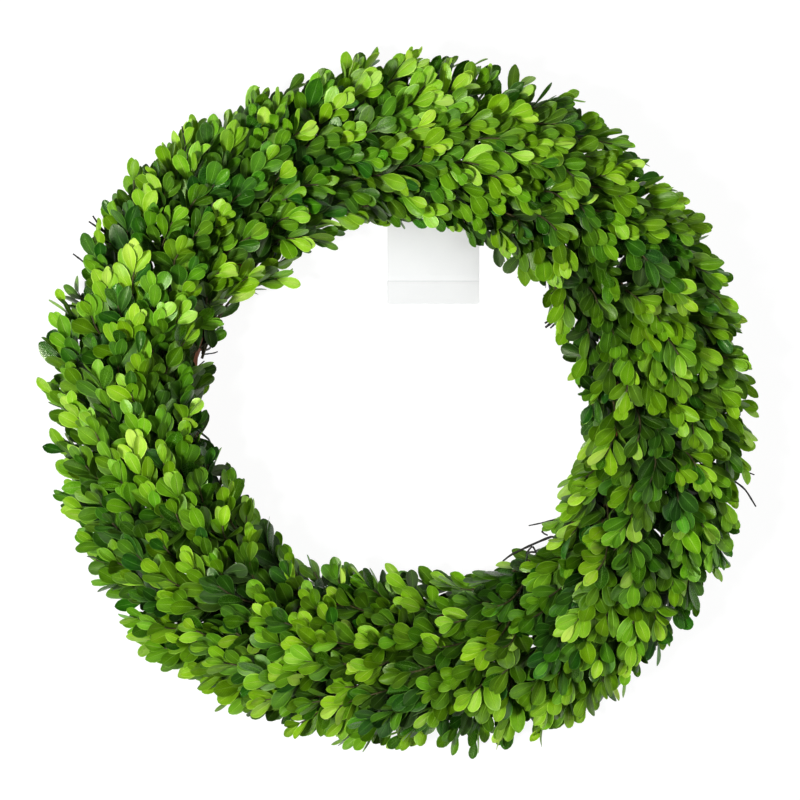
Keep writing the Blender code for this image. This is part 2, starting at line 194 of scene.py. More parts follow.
# Leaves that fill what is still bare, seen from above
FILL_CELL = 0.0013
FILL_MARGIN_INSIDE = 0.011
FILL_MARGIN_OUTSIDE = 0.023
FILL_MOST = 1500
FILL_SWEEPS = 3
FILL_STEM_FIRST = 0.006
FILL_STEM_LAST = 0.062
FILL_STEM_STEP = 0.004
FILL_NEAREST = 0.004
FILL_FARTHEST = 0.014
FILL_TRIES = 5
FILL_STRAY = -0.002
FILL_AIM_SCATTER = 0.16
FILL_SLOPES = (-0.45, 0.40)
FILL_FACE_SCATTER = 0.22
FILL_LENGTHS = (0.0170, 0.0225)
FILL_SLENDERNESS = (0.42, 0.52)
# Lower leaves that fill gaps get dark tones: painted shade
FILL_TONES = (0.0, 0.14)
FILL_HUES = (0.0, 0.6)
COVER_WIDTH = 0.56
COVER_ROWS = 22
COVER_COLUMNS = 11

SEED = 33

# Where the photo shows the vines through a gap in the leaves: angle, radius, half sizes
BARE_ANGLE = math.radians(165.5)
BARE_RADIUS = 0.1440
BARE_HALF_ALONG = 0.0085
BARE_HALF_ACROSS = 0.0060
BARE_BORDER = 0.020

# Hang tag, in the ring's own frame, with its slight warp, its pressed fold and its mesh
TAG_LEFT = -0.010
TAG_RIGHT = 0.056
TAG_BOTTOM = 0.0724
TAG_FOLD = 0.0890
TAG_TOP = 0.1410
TAG_LIFT = 0.0020
TAG_THICKNESS = 0.0006
TAG_REST = 0.0002
TAG_CURVE = 1.15
TAG_WARP = 0.0004
TAG_COLUMNS = 22
TAG_LINES = 26
TAG_CORNER = 0.0012
CREASE_STEP = 0.0006
CREASE_DEPTH = 0.00022
CREASE_HALF = 0.0003
TAG_EDGE = 0.0011
TAG_PLACE = 0.05

# Vine bark: each set of ridges has a number, a height, and how often and far it wavers
VINE_STEPS = 300
VINE_SIDES = 22
BARK_PHASES = 6
BARK_TWIST = 2.0
BARK_RIDGE = 0.00030
BARK_RIDGES = ((5, 1.0, 4, 3), (8, 0.7, 9, 2))
BARK_INSET = 1.7 * BARK_RIDGE
BARK_LUMP = 0.00035
LUMP_WAVES = (17, 7)
VINE_KNOTS = 14
KNOT_HEIGHT = 0.0009
KNOT_LENGTH = 0.030
KNOT_TURN = 0.6
BARK_TONES = (0.3, 0.8)

# Mesh of the wire, and how fast the surface places run along round pieces
WIRE_STEPS = 48
WIRE_SIDES = 8
WIRE_PLACE_STEPS = 8.0
TUBE_PLACES = 20.0
VINE_PLACES = 20.0
MIDDLE_TONE = 0.5

# Camera: straight above, in scale for the plane at its height above the floor
CAMERA_DISTANCE = 1.50
CAMERA_PLANE = 0.030
VIEW_WIDTH = 800 * 0.0007056
VIEW_MIDDLE = (0.00015, 0.0011)
SENSOR = 36.0

# Light and floor: place, disk size and power of each lamp
KEY_LAMP = ((-0.85, -0.25, 1.45), 0.34, 29.0)
FILL_LAMP = ((0.75, 0.35, 1.50), 1.30, 12.0)
LAMPS_AIM = Vector((0.0, 0.0, 0.03))
WORLD_STRENGTH = 0.06
FLOOR_SIZE = 6.0
FLOOR_DROP = 0.0002
FLOOR_GLOW = 0.92

# Leaf surface: midrib and the band of the painted rim highlight as shares of half the width, veins, and
# scales of the noise
MIDRIB_WIDTHS = (0.17, 0.04)
MIDRIB_CORE = 0.02
RIM_HIGHLIGHT_BAND = (0.84, 0.98)
VEIN_SLANT = -0.30
VEIN_WAVES = 75.0
VEIN_CREST = 0.55
VEIN_FADE = (0.95, 0.5)
PATCH_SCALE = 110.0
GRAIN_SCALE = 900.0
# Whitish green that the leaf rim and midrib are mixed toward, as a painted highlight
PAINTED_HIGHLIGHT_GREEN = (0.76, 0.88, 0.56, 1.0)
SHEEN_GREEN = (0.86, 1.0, 0.62, 1.0)
DEAD_TWIG = (0.007, 0.006, 0.003, 1.0)
CARD_SHADOW = (0.40, 0.40, 0.42, 1.0)

# Columns of a leaf's row in the table of leaves
ROOT = slice(0, 3)
ALONG = slice(3, 6)
FACE = slice(6, 9)
LENGTH, WIDTH, TAPER, BLUNT, CURL, FOLD, CUP, SWAY, TONE, HUE, GLOSS = range(9, 20)
LEAF_FIELDS = 20


def waves(terms, angle):
    """How far an edge of the foliage leaves its mean circle."""
    return sum(a * np.cos(n * angle) + b * np.sin(n * angle) for n, a, b in terms)


def outer_edge(angle):
    """Radius that the foliage reaches outward."""
    return OUTER_RADIUS + waves(OUTER_WAVES, angle)


def inner_edge(angle):
    """Radius that the foliage reaches inward."""
    return INNER_RADIUS + waves(INNER_WAVES, angle)


def undercut(height):
    """How far the foliage draws in below its widest height, towards the vines."""
    return UNDERCUT * np.clip(1.0 - height / SECTION_HEIGHT, 0.0, 1.0)


def ring_point(angle, radius, height):
    """A point from its angle round the wreath, radius and height."""
    return np.array((radius * math.cos(angle), radius * math.sin(angle), height))


def clockwise_at(angle):
    return -ring_point(angle + math.pi / 2, 1.0, 0.0)


def vine_section_point(angle, turn, reach):
    """A point round the vine bundle: turn is 0 outward and a quarter turn up."""
    return ring_point(angle, VINE_RING + reach * math.cos(turn), VINE_HEIGHT + reach * math.sin(turn))


def wire_angle(station, share):
    """Angle round the wreath of the wire, which crosses under the vines in their valleys."""
    pitch = math.tau / STATIONS
    return pitch * (station + 0.5 + share - math.sin(math.tau * share) / math.tau)


def unit(vector):
    return vector / np.linalg.norm(vector)


def units(rows):
    return rows / np.linalg.norm(rows, axis=-1, keepdims=True)


def distances(points):
    """How far along their course points lie."""
    steps = np.linalg.norm(np.diff(points, axis=0), axis=1)
    return np.concatenate(((0.0,), np.cumsum(steps)))


def on_course(points, lengths, place):
    """The point, or points, at a distance along a course."""
    return np.stack([np.interp(place, lengths, points[:, axis]) for axis in range(3)], axis=-1)


def add_object(name, data):
    item = bpy.data.objects.new(name, data)
    bpy.context.scene.collection.objects.link(item)
    return item


class Section:
    """The foliage's outline in one section of the ring, as a rounded hump."""

    def __init__(self, angle):
        self.angle = angle
        self.out = float(outer_edge(angle)) - SECTION_RADIUS
        self.inward = SECTION_RADIUS - float(inner_edge(angle))
        self.top = FOLIAGE_TOP - SECTION_HEIGHT
        self.under = SECTION_HEIGHT - FOLIAGE_FLOOR

    def offset(self, turn):
        """From the middle to the outline, as radius and height."""
        reach = self.out if math.cos(turn) > 0 else self.inward
        rise = self.top if math.sin(turn) > 0 else self.under
        height = rise * math.sin(turn)
        reach -= float(undercut(SECTION_HEIGHT + height))
        return reach * math.cos(turn), height

    def point(self, turn, inset):
        """A point at a depth under the outline."""
        across, up = self.offset(turn)
        keep = max(LEAST_KEPT, 1.0 - inset / math.hypot(across, up))
        return ring_point(self.angle, SECTION_RADIUS + across * keep, SECTION_HEIGHT + up * keep)

    def outward(self, turn):
        """The outline's outward direction."""
        reach = self.out if math.cos(turn) > 0 else self.inward
        across = math.cos(turn) / reach
        up = math.sin(turn) / (self.top if math.sin(turn) > 0 else self.under)
        size = math.hypot(across, up)
        return ring_point(self.angle, across / size, up / size)


class Bunch:
    """One CAD bunch: where its stem is bound to the vines, and all that grows from there."""

    def __init__(self, row, seat, station, rng):
        self.name = f"bunch_{row}_{station + 1:02d}"
        self.row = row
        self.seat = math.radians(seat)
        wire_share = (self.seat + math.pi / 2) / math.tau
        self.start = wire_angle(station, wire_share) + STEM_BEHIND_WIRE
        self.tone = rng.gauss(0.0, BUNCH_TONE_SPREAD)
        self.hue = rng.gauss(0.0, BUNCH_HUE_SPREAD)
        self.sprigs = []
        self.leaves = []
        self.bare_twigs = []


def lay_out_bunches(rng):
    return [Bunch(row, seat, station, rng) for station in range(STATIONS) for row, seat in ROWS]


class Sprig:
    """A leafy sprig: a smooth course from its butt, bound under the wire, to its tip."""

    def __init__(self, bunch, tip, outward, heading, rng):
        self.bunch = bunch
        self.outward = outward
        self.spin = rng.uniform(0.0, math.tau)
        butt_angle = bunch.start + rng.uniform(0.0, BUTT_LAG)
        seat = bunch.seat + rng.uniform(-SEAT_SCATTER, SEAT_SCATTER)
        butt = vine_section_point(butt_angle, seat, STEM_REACH + rng.uniform(*BUTT_DEPTHS))
        distance = np.linalg.norm(tip - butt)
        leave = unit(clockwise_at(butt_angle) + BUTT_AIM * unit(tip - butt))
        shares = np.linspace(0.0, 1.0, SPRIG_STEPS)[:, None]
        first = butt + leave * distance * COURSE_EASE
        second = tip - heading * distance * COURSE_EASE
        self.points = (
            butt * (1 - shares) ** 3
            + first * 3 * shares * (1 - shares) ** 2
            + second * 3 * shares ** 2 * (1 - shares)
            + tip * shares ** 3
        )
        self.lengths = distances(self.points)
        tone, hue = sprig_colour(rng)
        self.tone = tone + bunch.tone
        self.hue = hue + bunch.hue

    def at(self, from_tip):
        """The point on the sprig at a distance back from its tip."""
        return on_course(self.points, self.lengths, self.lengths[-1] - from_tip)

    def direction(self, from_tip):
        """The way the sprig points there, towards its tip."""
        ahead = self.at(max(0.0, from_tip - DIRECTION_STEP))
        return unit(ahead - self.at(from_tip + DIRECTION_STEP))


def spread_tips(rng):
    """Evenly spread places on the hump, as angle round the ring and section turn.
    Each is the one offer of several that lies farthest from the places already chosen."""
    chosen = []
    taken = np.zeros((0, 3))
    section = Section(0.0)
    turns = np.linspace(SECTION_LOWEST, math.pi - SECTION_LOWEST, SECTION_STEPS)
    outline = np.array([section.offset(turn) for turn in turns])
    walk = distances(outline)
    while len(chosen) < SPRIGS:
        best = None
        best_distance = -1.0
        for offer in range(TIP_OFFERS):
            angle = rng.uniform(0.0, math.tau)
            turn = float(np.interp(rng.uniform(0.0, walk[-1]), walk, turns))
            point = Section(angle).point(turn, 0.0)
            if rng.random() > math.hypot(point[0], point[1]) / OUTER_RADIUS:
                continue
            distance = np.min(np.linalg.norm(taken - point, axis=1)) if len(taken) else 1.0
            distance *= 1.0 - SIDE_THINNING * math.cos(turn) ** 2
            if distance > best_distance:
                best = (angle, turn, point)
                best_distance = distance
        if best is None:
            continue
        chosen.append(best[:2])
        taken = np.vstack((taken, best[2]))
    return chosen


def row_of(turn):
    """The row of bunches that a section turn belongs to."""
    for name, highest in ROW_BORDERS:
        if turn <= highest:
            return name
    return "inner"


def bunch_for(bunches, angle, turn):
    """The bunch whose tips belong at this place: its butt lies back round the ring."""
    row = row_of(turn)
    reach = NEAREST_TIP / SECTION_RADIUS
    in_row = [bunch for bunch in bunches if bunch.row == row]
    return min(in_row, key=lambda bunch: (bunch.start - reach - angle) % math.tau)


def sprig_colour(rng):
    """Tone, from dark to pale lime, and hue, from yellow green to blue green."""
    draw = rng.random()
    for share, tones, hues in SPRIG_COLOURS:
        if draw < share:
            return rng.uniform(*tones), rng.uniform(*hues)


def grow_sprigs(bunches, rng):
    """Sprigs whose tips cover the hump evenly, each tied in with a bunch."""
    sprigs = []
    for index, (angle, turn) in enumerate(spread_tips(rng)):
        section = Section(angle)
        side_share = abs(math.cos(turn))
        deep = index >= SPRIGS * (1.0 - DEEP_SHARE) and side_share < DEEP_SPREAD
        tip = section.point(turn, rng.uniform(*(DEEP_INSET if deep else TIP_INSET)))
        outward = section.outward(turn)
        lean = LEAN_ON_TOP + (LEAN_AT_SIDES - LEAN_ON_TOP) * side_share + rng.gauss(0.0, LEAN_SCATTER)
        clockwise = clockwise_at(angle)
        sideways = np.cross(outward, clockwise) * rng.gauss(0.0, YAW_SCATTER)
        heading = unit(clockwise * math.cos(lean) + outward * math.sin(lean) + sideways)
        if tip[2] < LOW_TIP and heading[2] < 0.0:
            heading = unit(heading * LEVELLED)
        sprig = Sprig(bunch_for(bunches, angle, turn), tip, outward, heading, rng)
        sprig.bunch.sprigs.append(sprig)
        sprigs.append(sprig)
    return sprigs


def leaf_surface(leaves, shares, across):
    """Points on leaves: shares run from root to tip, across from -1 to 1 at the rims."""
    shares = np.asarray(shares, float)[None, :]
    across = np.asarray(across, float)[None, :]
    root, along, face = leaves[:, None, ROOT], leaves[:, None, ALONG], leaves[:, None, FACE]
    side = np.cross(face, along)
    curl = leaves[:, CURL, None]
    length = leaves[:, LENGTH, None]
    taper = leaves[:, TAPER, None]
    blunt = leaves[:, BLUNT, None]
    bend = curl * shares
    forward = length * np.sin(bend) / curl
    lift = length * (1.0 - np.cos(bend)) / curl
    widest = taper / (taper + blunt)
    peak = widest ** taper * (1.0 - widest) ** blunt
    half = leaves[:, WIDTH, None] / 2 * shares ** taper * np.maximum(1.0 - shares, 0.0) ** blunt / peak
    sideways = half * across + length * leaves[:, SWAY, None] * shares ** 2
    rise = half * (leaves[:, FOLD, None] * np.abs(across) + leaves[:, CUP, None] * across ** 2)
    upright = face * np.cos(bend)[..., None] - along * np.sin(bend)[..., None]
    return (
        root
        + along * forward[..., None]
        + face * lift[..., None]
        + side * sideways[..., None]
        + upright * rise[..., None]
    )


# A leaf cut down to six points, less its root, for testing what it would cross
TEST_SHARES = (0.24, 0.40, 0.78, 1.0, 0.78, 0.40)
TEST_ACROSS = (0.0, -1.0, -1.0, 0.0, 1.0, 1.0)
TEST_FACES = ((0, 1, 2, 3), (0, 3, 4, 5))


def from_bare_gap(radius, angle, half_along=BARE_HALF_ALONG, half_across=BARE_HALF_ACROSS):
    """How far places lie from the gap that shows the vines: 1 at its edge, less inside."""
    along = (angle - BARE_ANGLE) * BARE_RADIUS / half_along
    return np.hypot(along, (radius - BARE_RADIUS) / half_across)


class Crowd:
    """Leaves already in place, found by the cell that their middle lies in."""

    CELL = 0.018

    def __init__(self):
        self.cells = {}
        self.last = None

    def key(self, middle):
        return tuple(int(math.floor(value / self.CELL)) for value in middle)

    def clears(self, points):
        """True for a leaf, as a few points, that crosses none of those in place."""
        middle = Vector(points.mean(axis=0))
        tree = BVHTree.FromPolygons([Vector(point) for point in points], TEST_FACES)
        x, y, z = self.key(middle)
        for i in (x - 1, x, x + 1):
            for j in (y - 1, y, y + 1):
                for k in (z - 1, z, z + 1):
                    for other_middle, other_tree in self.cells.get((i, j, k), ()):
                        if (other_middle - middle).length > self.CELL:
                            continue
                        if tree.overlap(other_tree):
                            return False
        self.last = (middle, tree)
        return True

    def take(self):
        """Keep the leaf that was last found to be clear."""
        self.cells.setdefault(self.key(self.last[0]), []).append(self.last)


def allowed(points, stray):
    """True for each leaf, as rows of points, that stays within the foliage's outline."""
    x, y, z = points[..., 0], points[..., 1], points[..., 2]
    radius = np.hypot(x, y)
    angle = np.arctan2(y, x)
    spare = stray - undercut(z)
    inside = (radius < outer_edge(angle) + spare) & (radius > inner_edge(angle) - spare)
    inside &= (z > FOLIAGE_FLOOR) & (z < FOLIAGE_TOP)
    in_vines = np.hypot(radius - VINE_RING, z - VINE_HEIGHT) < VINE_CLEARANCE
    on_tag = (x > TAG_LEFT - TAG_MARGIN) & (x < TAG_RIGHT + TAG_MARGIN)
    on_tag &= (y > TAG_BOTTOM) & (y < TAG_TOP + TAG_MARGIN) & (z < TAG_CLEARANCE)
    bad = ~inside | in_vines | on_tag | (from_bare_gap(radius, angle) < 1.0)
    return ~bad.any(axis=-1)


def daylight(points):
    """How much light reaches places in the foliage: 1 near its outline, less below it."""
    angle = np.arctan2(points[:, 1], points[:, 0])
    across = np.hypot(points[:, 0], points[:, 1]) - SECTION_RADIUS
    reach = np.where(across > 0.0, outer_edge(angle) - SECTION_RADIUS, SECTION_RADIUS - inner_edge(angle))
    rise = np.maximum(0.0, points[:, 2] - SECTION_HEIGHT) / (FOLIAGE_TOP - SECTION_HEIGHT)
    share = (np.hypot(across / reach, rise) - SHADE_ENDS) / (SHADE_STARTS - SHADE_ENDS)
    return SHADE_TONE + (1.0 - SHADE_TONE) * np.clip(share, 0.0, 1.0)


def blank_leaves(count, rng):
    """Leaves with their own seeded shape, still without a place."""
    leaves = np.zeros((count, LEAF_FIELDS))
    leaves[:, TAPER] = rng.uniform(*TAPERS, count)
    leaves[:, BLUNT] = rng.uniform(*BLUNTNESS, count)
    curl = rng.normal(*CURLS, count)
    leaves[:, CURL] = np.where(np.abs(curl) < LEAST_CURL, LEAST_CURL, curl)
    leaves[:, FOLD] = rng.normal(*FOLDS, count)
    leaves[:, CUP] = rng.normal(*CUPS, count)
    leaves[:, SWAY] = rng.normal(*SWAYS, count)
    return leaves


def place_leaves(leaves, root, along, face, length, slenderness, rng):
    """Give leaves their root, their direction, a face square to it, and their size."""
    leaves[:, ROOT] = root
    leaves[:, ALONG] = along
    leaves[:, FACE] = units(face - along * (face * along).sum(axis=1)[:, None])
    leaves[:, LENGTH] = length
    leaves[:, WIDTH] = length * rng.uniform(*slenderness, len(leaves))


def sprig_leaf_offers(sprig, node, second, rng):
    """Several ways in which one leaf of a pair could grow, the likeliest first."""
    leaves = blank_leaves(LEAF_OFFERS, rng)
    back = NODES_FROM_TIP[node]
    stem = sprig.at(back)
    heading = sprig.direction(back)
    outward = unit(sprig.outward - heading * sprig.outward.dot(heading))
    across = np.cross(heading, outward)
    loosen = np.linspace(0.0, 1.0, LEAF_OFFERS)
    turn = sprig.spin + node * math.pi / 2 + (math.pi if second else 0.0)
    turn = (turn + math.pi) % math.tau - math.pi
    turn = turn + rng.normal(0.0, TURN_SCATTER[0] + TURN_SCATTER[1] * loosen)
    turn = np.clip(turn, -WIDEST_TURN, WIDEST_TURN)
    fan = LEAF_FANS[node] * (1.0 + rng.normal(0.0, FAN_SCATTER[0] + FAN_SCATTER[1] * loosen))
    swing = outward * np.cos(turn)[:, None] + across * np.sin(turn)[:, None]
    along = heading * np.cos(fan)[:, None] + swing * np.sin(fan)[:, None]
    along[:, 2] = np.clip(along[:, 2], *LEAF_SLOPES)
    along = units(along)
    scatter = rng.normal(0.0, FACE_SCATTER, (LEAF_OFFERS, 3))
    face = sprig.outward * FACE_OUTWARD + UP * FACE_UPWARD + scatter
    length = LEAF_LENGTHS[node] * rng.uniform(*LENGTH_SCATTER, LEAF_OFFERS)
    root = stem + along * SPRIG_TIP_RADIUS
    place_leaves(leaves, root, along, face, length, SLENDERNESS, rng)
    tone = sprig.tone + TIP_BRIGHTER - NODE_DARKER * node + rng.normal(0.0, TONE_SCATTER)
    middles = stem + along * LEAF_MIDDLE * length[:, None]
    leaves[:, TONE] = np.clip(tone * daylight(middles), LEAST_TONE, 1.0)
    leaves[:, HUE] = np.clip(sprig.hue + rng.normal(0.0, HUE_SCATTER), 0.0, 1.0)
    leaves[:, GLOSS] = rng.uniform(0.0, 1.0)
    if rng.random() < PALE_SHARE:
        leaves[:, TONE] = rng.uniform(*PALE_TONES)
        leaves[:, HUE] = rng.uniform(*PALE_HUES)
    elif rng.random() < DARK_SHARE:
        leaves[:, TONE] = rng.uniform(*DARK_TONES)
        leaves[:, HUE] = rng.uniform(*DARK_HUES)
        leaves[:, GLOSS] = 1.0
    return leaves


def first_clear(offers, crowd, stray):
    """The first offered leaf that stays in the outline and crosses no other, or None."""
    points = leaf_surface(offers, TEST_SHARES, TEST_ACROSS)
    good = allowed(points, stray)
    for index in np.flatnonzero(good):
        if crowd.clears(points[index]):
            crowd.take()
            return offers[index]
    return None


def grow_leaves(sprigs, crowd, rng):
    """Grow the leaves pair by pair, the tips of all the sprigs first."""
    for node in range(len(NODES_FROM_TIP)):
        for sprig in sprigs:
            if NODES_FROM_TIP[node] > sprig.lengths[-1] - BARE_BUTT:
                continue
            for second in (False, True):
                stray = rng.uniform(*EDGE_STRAY)
                leaf = first_clear(sprig_leaf_offers(sprig, node, second, rng), crowd, stray)
                if leaf is not None:
                    sprig.bunch.leaves.append(leaf)


def seen_larger(height):
    """How much larger a height looks, from above, than the plane that is in scale."""
    return CAMERA_DISTANCE / (CAMERA_DISTANCE + CAMERA_PLANE - height)


class Cover:
    """Small square cells that leaves cover, as seen from above."""

    SIZE = int(COVER_WIDTH / FILL_CELL)
    SHARES = np.repeat(np.linspace(0.06, 0.98, COVER_ROWS), COVER_COLUMNS)
    ACROSS = np.tile(np.linspace(-0.96, 0.96, COVER_COLUMNS), COVER_ROWS)

    def __init__(self):
        self.cells = np.zeros((self.SIZE, self.SIZE), bool)
        centres = (np.arange(self.SIZE) + 0.5 - self.SIZE / 2) * FILL_CELL
        x, y = np.meshgrid(centres, centres, indexing="ij")
        radius = np.hypot(x, y)
        angle = np.arctan2(y, x)
        self.wanted = radius > inner_edge(angle) + FILL_MARGIN_INSIDE
        self.wanted &= radius < outer_edge(angle) - FILL_MARGIN_OUTSIDE
        border = from_bare_gap(radius, angle, BARE_BORDER, BARE_BORDER) < 1.0
        self.wanted |= border & (radius > inner_edge(angle))
        self.wanted &= from_bare_gap(radius, angle) > 1.0
        self.centres = centres

    def add(self, leaves):
        """Mark what leaves cover, as the camera sees them."""
        points = leaf_surface(leaves, self.SHARES, self.ACROSS).reshape(-1, 3)
        points = points * seen_larger(points[:, 2])[:, None]
        index = np.floor(points[:, :2] / FILL_CELL + self.SIZE / 2).astype(int)
        self.cells[index[:, 0], index[:, 1]] = True

    def bare(self):
        """The cells that no leaf covers, of those that leaves should cover."""
        return np.argwhere(self.wanted & ~self.cells)


def fill_offers(stem, target, rng):
    """Ways to point a lower leaf from a sprig over a bare cell."""
    leaves = blank_leaves(LEAF_OFFERS, rng)
    flat = np.array((target[0] - stem[0], target[1] - stem[1], 0.0))
    flat = flat / max(1e-6, np.linalg.norm(flat))
    along = np.tile(flat, (LEAF_OFFERS, 1)) + rng.normal(0.0, FILL_AIM_SCATTER, (LEAF_OFFERS, 3))
    along[:, 2] = rng.uniform(*FILL_SLOPES, LEAF_OFFERS)
    along = units(along)
    face = UP + rng.normal(0.0, FILL_FACE_SCATTER, (LEAF_OFFERS, 3))
    length = rng.uniform(*FILL_LENGTHS, LEAF_OFFERS)
    place_leaves(leaves, stem, along, face, length, FILL_SLENDERNESS, rng)
    # Dark tones as painted shade for these lower leaves
    leaves[:, TONE] = rng.uniform(*FILL_TONES)
    leaves[:, HUE] = rng.uniform(*FILL_HUES)
    leaves[:, GLOSS] = rng.uniform(0.0, 1.0)
    return leaves


def fill_gaps(sprigs, crowd, cover, rng):
    """Add lower leaves where the floor would show through the middle of the ring."""
    backs = np.arange(FILL_STEM_FIRST, FILL_STEM_LAST, FILL_STEM_STEP)
    stems = [(sprig, sprig.at(back)) for sprig in sprigs for back in backs
             if back < sprig.lengths[-1] - FILL_STEM_FIRST]
    tree = KDTree(len(stems))
    for index, (sprig, stem) in enumerate(stems):
        tree.insert(Vector((stem[0], stem[1], 0.0)), index)
    tree.balance()
    added = 0
    for sweep in range(FILL_SWEEPS):
        bare = cover.bare()
        rng.shuffle(bare)
        for i, j in bare:
            if cover.cells[i, j] or added >= FILL_MOST:
                continue
            target = np.array((cover.centres[i], cover.centres[j]))
            found = tree.find_range(Vector((target[0], target[1], 0.0)), FILL_FARTHEST)
            near = [index for place, index, distance in found if distance > FILL_NEAREST]
            if not near:
                continue
            for index in rng.permutation(near)[:FILL_TRIES]:
                sprig, stem = stems[index]
                leaf = first_clear(fill_offers(stem, target, rng), crowd, FILL_STRAY)
                if leaf is None:
                    continue
                sprig.bunch.leaves.append(leaf)
                cover.add(leaf[None, :])
                added += 1
                break


def leaf_template():
    """One leaf's mesh: the shares and places across of its points, its faces, which
    points are on its rim, and the first point of its underside."""
    grid = [(share, column) for share in LEAF_ROWS for column in LEAF_COLUMNS]
    inner = [(share, column) for share, column in grid if abs(column) < 1.0]
    shares, across = np.array([(0.0, 0.0), *grid, (1.0, 0.0), *inner]).T
    rim = (np.abs(across) == 1.0) | (shares == 0.0) | (shares == 1.0)
    width = len(LEAF_COLUMNS)
    backs = len(grid) + 2
    top = [[1 + row * width + place for place in range(width)] for row in range(len(LEAF_ROWS))]
    top = [[0] * width, *top, [backs - 1] * width]
    under = [list(row) for row in top]
    for row, spots in enumerate(under[1:-1]):
        first = backs + row * (width - 2)
        spots[1:-1] = range(first, first + width - 2)
    faces = []
    for sheet, turned in ((top, False), (under, True)):
        for near, far in zip(sheet, sheet[1:]):
            for place in range(width - 1):
                corners = (near[place], near[place + 1], far[place + 1], far[place])
                corners = list(dict.fromkeys(corners))
                faces.append(corners[::-1] if turned else corners)
    return shares, across, faces, rim, backs


LEAF_SHARES, LEAF_ACROSS, LEAF_FACES, LEAF_RIM, LEAF_BACKS = leaf_template()


class Mesh:
    """Points, faces and per-point values that grow into one object."""

    def __init__(self):
        self.points = []
        self.faces = []
        self.slots = []
        self.places = []
        self.tones = []
        self.rims = []
        self.count = 0

    def add(self, points, faces, slot, places, tones, rims):
        """Add a form, with the surface place, tone and rim mark of each of its points."""
        start = self.count
        self.points.append(points)
        self.faces.extend([corner + start for corner in face] for face in faces)
        self.slots.extend([slot] * len(faces))
        self.places.append(places)
        self.tones.append(tones)
        self.rims.append(rims)
        self.count += len(points)

    def finish(self, name, materials):
        """Make the object, smooth but for the edges between two rim points."""
        data = bpy.data.meshes.new(name)
        points = np.vstack(self.points) + RING_MIDDLE
        data.from_pydata(points.tolist(), [], self.faces)
        for material in materials:
            data.materials.append(material)
        data.polygons.foreach_set("material_index", self.slots)
        corners = np.zeros(len(data.loops), np.int32)
        data.loops.foreach_get("vertex_index", corners)
        layer = data.uv_layers.new(name="surface")
        places = np.vstack(self.places)[corners]
        layer.data.foreach_set("uv", places.astype(np.float32).ravel())
        tone = data.attributes.new("tone", "FLOAT_COLOR", "POINT")
        values = np.vstack(self.tones)
        values = np.hstack((values, np.ones((len(values), 1))))
        tone.data.foreach_set("color", values.astype(np.float32).ravel())
        rim = np.concatenate(self.rims)
        edges = np.zeros(len(data.edges) * 2, np.int32)
        data.edges.foreach_get("vertices", edges)
        edges = edges.reshape(-1, 2)
        data.shade_smooth()
        sharp = data.attributes.new("sharp_edge", "BOOLEAN", "EDGE")
        sharp.data.foreach_set("value", rim[edges[:, 0]] & rim[edges[:, 1]])
        data.update()
        return add_object(name, data)


def add_leaves(mesh, leaves):
    """Thin closed leaves with a fold, a cup and a curl, and a sharp rim."""
    leaves = np.array(leaves)
    points = leaf_surface(leaves, LEAF_SHARES, LEAF_ACROSS)
    depth = LEAF_THICKNESS * (1.0 - RIM_THINNING * np.abs(LEAF_ACROSS[LEAF_BACKS:]))
    points[:, LEAF_BACKS:] -= leaves[:, None, FACE] * depth[None, :, None]
    places = np.stack((LEAF_ACROSS * 0.5 + 0.5, LEAF_SHARES), axis=1)
    for leaf, spots in zip(leaves, points):
        tones = np.tile(leaf[[TONE, HUE, GLOSS]], (len(spots), 1))
        tones[LEAF_BACKS:] += UNDERSIDE_TONE
        mesh.add(spots, LEAF_FACES, 0, places, tones, LEAF_RIM)


def rings(centres, heading, upward, radii, sides):
    """A ring of points round each centre, square to the heading there."""
    side = units(np.cross(heading, upward))
    upright = np.cross(side, heading)
    turns = np.arange(sides) * math.tau / sides
    around = side[:, None] * np.cos(turns)[None, :, None] + upright[:, None] * np.sin(turns)[None, :, None]
    return centres[:, None] + around * np.asarray(radii)[:, None, None]


def ring_faces(rows, sides, closed):
    """Faces from each ring of points to the next, and from the last to the first if closed."""
    faces = []
    for row in range(rows if closed else rows - 1):
        near = row * sides
        far = (row + 1) % rows * sides
        for place in range(sides):
            other = (place + 1) % sides
            faces.append((near + place, near + other, far + other, far + place))
    return faces


def add_rings(mesh, points, faces, slot, around, along, tone):
    """Add rings of points as one smooth form, with their surface places from row and side."""
    rows, sides = points.shape[:2]
    count = rows * sides
    places = np.stack((np.tile(around, rows), np.repeat(along, sides)), axis=1)
    tones = np.tile(np.array(tone), (count, 1))
    mesh.add(points.reshape(-1, 3), faces, slot, places, tones, np.zeros(count, bool))


def add_tube(mesh, centres, radii, sides, slot, tone):
    """A closed-ended tube with its length and its way round as surface places."""
    centres = np.asarray(centres)
    rows = len(centres)
    points = rings(centres, units(np.gradient(centres, axis=0)), UP, radii, sides)
    faces = ring_faces(rows, sides, closed=False)
    faces.append(tuple(range(sides))[::-1])
    faces.append(tuple((rows - 1) * sides + place for place in range(sides)))
    around = np.arange(sides) / sides
    add_rings(mesh, points, faces, slot, around, distances(centres) * TUBE_PLACES, tone)


def foliage_piece(bunch, materials):
    """A bunch's leaves, its live sprigs (tone 1) and its bare twigs (tone 0)."""
    mesh = Mesh()
    add_leaves(mesh, bunch.leaves)
    radii = np.linspace(SPRIG_BUTT_RADIUS, SPRIG_TIP_RADIUS, SPRIG_STEPS)
    for sprig in bunch.sprigs:
        add_tube(mesh, sprig.points, radii, SPRIG_SIDES, 1, (1.0, sprig.hue, MIDDLE_TONE))
    for centres, twig_radii in bunch.bare_twigs:
        add_tube(mesh, centres, twig_radii, SPRIG_SIDES, 1, (0.0, MIDDLE_TONE, MIDDLE_TONE))
    return mesh.finish("foliage_" + bunch.name.removeprefix("bunch_"), materials)


